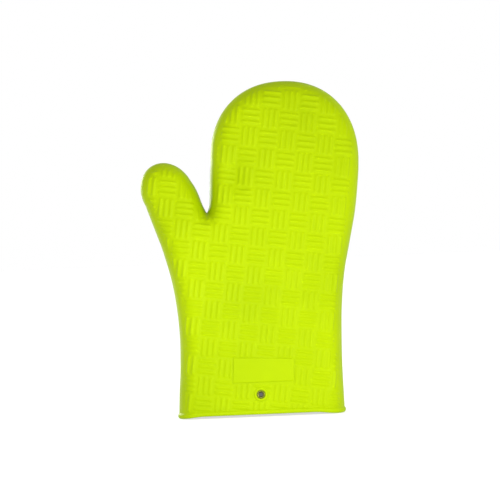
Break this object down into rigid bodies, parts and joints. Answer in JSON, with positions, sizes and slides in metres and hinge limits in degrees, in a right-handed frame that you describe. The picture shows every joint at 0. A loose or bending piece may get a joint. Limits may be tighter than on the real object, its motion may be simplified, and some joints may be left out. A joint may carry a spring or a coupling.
{
  "type": "heat resistant glove",
  "caption": "Upright lined silicone oven glove with a separate thumb, a basket-weave grip, a blank raised panel and a round hanging eyelet above its beaded rim.",
  "frame": {"origin": "centre of the bounding box's base, on the plane of the cuff's rim", "axes": "+Z from the cuff to the fingertip, +X across the palm away from the thumb, -Y out of the face with the blank panel and the eyelet"},
  "size_m": [0.1841, 0.0536, 0.2798],
  "materials": {
    "silicone": "satin",
    "lining": "matte",
    "binding": "matte",
    "eyelet": "satin"
  },
  "bodies": {
    "palm": {"palm_shell": "silicone", "knuckle_flex_web": "silicone", "thumb_root_flex_web": "silicone", "lining_palm_front": "lining", "lining_palm_back": "lining", "lining_knuckle_flex": "lining", "lining_thumb_flex": "lining", "lining_cuff_binding": "binding", "hanging_eyelet": "eyelet", "eyelet_washer": "eyelet"},
    "fingers": {"finger_shell": "silicone", "lining_finger_front": "lining", "lining_finger_back": "lining"},
    "thumb": {"thumb_shell": "silicone", "lining_thumb_front": "lining", "lining_thumb_back": "lining"}
  },
  "joints": [
    {"name": "finger_flex", "type": "hinge", "parent": "palm", "child": "fingers", "pos_m": [0.027, 0, 0.1883], "axis": [1, 0, 0], "range_deg": [-60, 60], "stiffness_Nm_per_rad": 0.3, "deforming": ["knuckle_flex_web", "lining_knuckle_flex"]},
    {"name": "thumb_flex", "type": "hinge", "parent": "palm", "child": "thumb", "pos_m": [-0.06148, 0, 0.17095], "axis": [0.8813, 0, 0.4726], "range_deg": [-45, 45], "stiffness_Nm_per_rad": 0.15, "deforming": ["thumb_root_flex_web", "lining_thumb_flex"]}
  ]
}
